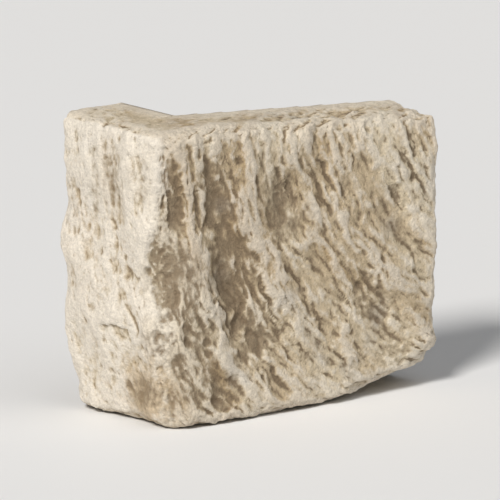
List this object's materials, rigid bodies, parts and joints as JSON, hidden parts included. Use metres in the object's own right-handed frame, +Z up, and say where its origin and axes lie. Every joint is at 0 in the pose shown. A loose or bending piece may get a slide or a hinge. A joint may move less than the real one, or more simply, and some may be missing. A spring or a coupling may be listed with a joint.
{
  "type": "stone cladding corner piece",
  "caption": "L-shaped corner stone for wall cladding, with hewn outer faces, a worn outer arris and sawn backs that close on the corner of a wall.",
  "frame": {"origin": "centre of the footprint's box, on the bed the stone stands on", "axes": "+X along the long leg, away from the outer arris; +Y along the return, away from the outer arris; +Z up"},
  "size_m": [0.19, 0.09, 0.157],
  "materials": {
    "stone": "hewn, matt"
  },
  "bodies": {
    "root": {"corner_stone": "stone"}
  },
  "joints": []
}
